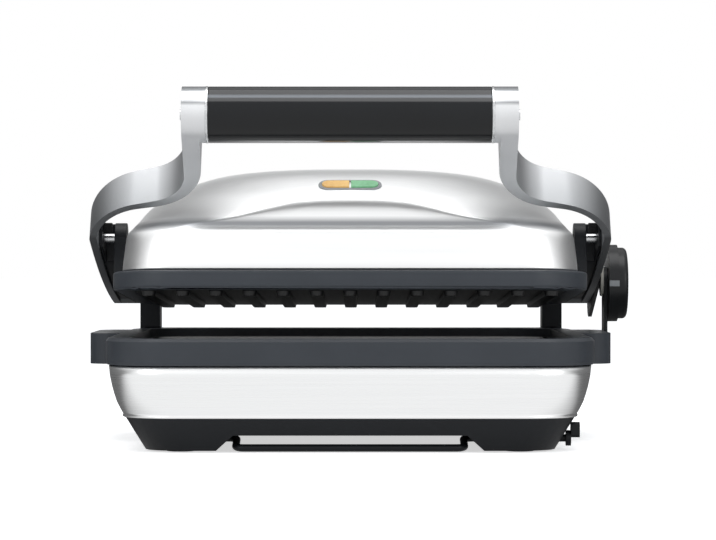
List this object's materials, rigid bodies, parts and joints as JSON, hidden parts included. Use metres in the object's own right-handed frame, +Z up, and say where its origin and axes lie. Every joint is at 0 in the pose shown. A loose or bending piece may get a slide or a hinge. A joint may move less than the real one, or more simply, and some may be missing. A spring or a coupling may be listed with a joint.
{
  "type": "contact grill",
  "caption": "Contact grill with a domed lid that floats between two cast arms, a handle across them and a height knob.",
  "frame": {"origin": "middle of the base, on the table surface", "axes": "+X to the right as the user sees it, -Y towards the user, +Z up"},
  "size_m": [0.366, 0.3329, 0.2309],
  "materials": {
    "satin_steel": "fine satin brushed",
    "cast_silver": "satin cast silver",
    "slate_plastic": "matt slate black",
    "black_plastic": "matt black",
    "grip_black": "soft gloss black",
    "plate_coating": "dark non-stick coating",
    "bright_steel": "bright machined steel",
    "tin_steel": "plain sheet steel",
    "rubber": "matt rubber",
    "amber": "clear amber",
    "green": "clear green",
    "pale_plastic": "pale moulded",
    "blanket": "felted mineral wool"
  },
  "bodies": {
    "base": {"base_pan": "black_plastic", "foot_pads": "rubber", "pan_screws": "bright_steel", "base_band": "satin_steel", "base_rim": "slate_plastic", "lower_plate": "plate_coating", "lower_element": "tin_steel", "lower_reflector": "tin_steel", "lower_thermostat": "bright_steel", "thermal_fuse": "tin_steel", "terminal_block": "pale_plastic", "base_leads": "rubber", "rear_housing": "black_plastic", "cord_gland": "black_plastic", "housing_screws": "bright_steel", "hinge_pin_right": "bright_steel", "hinge_pin_left": "bright_steel", "hinge_washers": "pale_plastic", "dial_post": "black_plastic", "post_screw": "bright_steel"},
    "stand": {"tilt_stand": "black_plastic", "tilt_lever": "black_plastic"},
    "dial": {"height_cam": "pale_plastic", "height_knob": "black_plastic", "dial_pointer": "pale_plastic"},
    "lever": {"height_lever": "tin_steel"},
    "arms": {"arm_right": "cast_silver", "arm_left": "cast_silver", "arm_liner_right": "black_plastic", "arm_liner_left": "black_plastic", "stop_block_right": "rubber", "stop_block_left": "rubber", "pivot_pin_right": "bright_steel", "pivot_pin_left": "bright_steel", "lid_lead": "rubber", "handle_core": "tin_steel", "handle_grip": "grip_black", "handle_collars": "bright_steel", "handle_screws": "bright_steel"},
    "lid": {"lid_shell": "satin_steel", "lid_rim": "slate_plastic", "upper_plate": "plate_coating", "upper_element": "tin_steel", "upper_reflector": "tin_steel", "heat_blanket": "blanket", "upper_thermostat": "bright_steel", "lens_frame": "black_plastic", "amber_lens": "amber", "green_lens": "green", "lamp_board": "pale_plastic", "indicator_lamps": "amber", "lid_bracket_right": "black_plastic", "lid_bracket_left": "black_plastic"}
  },
  "joints": [
    {"name": "height_set", "type": "hinge", "parent": "base", "child": "lever", "pos_m": [0, 0.148, 0.102], "axis": [-1, 0, 0], "range_deg": [-7.5, 0]},
    {"name": "arm_hinge", "type": "hinge", "parent": "lever", "child": "arms", "pos_m": [0, 0.148, 0.102], "axis": [-1, 0, 0], "range_deg": [0, 95]},
    {"name": "lid_float", "type": "hinge", "parent": "arms", "child": "lid", "pos_m": [0, -0.025, 0.136], "axis": [-1, 0, 0], "range_deg": [0, 4.5]},
    {"name": "dial_turn", "type": "hinge", "parent": "base", "child": "dial", "pos_m": [0.175, 0.072, 0.1053], "axis": [1, 0, 0], "range_deg": [-210, 0]},
    {"name": "stand_swing", "type": "hinge", "parent": "base", "child": "stand", "pos_m": [0, -0.095, 0.0075], "axis": [1, 0, 0], "range_deg": [0, 35]}
  ],
  "couplings": [
    {"joint": "lid_float", "follows": "height_set", "ratio": -0.6},
    {"joint": "dial_turn", "follows": "height_set", "ratio": 28}
  ]
}
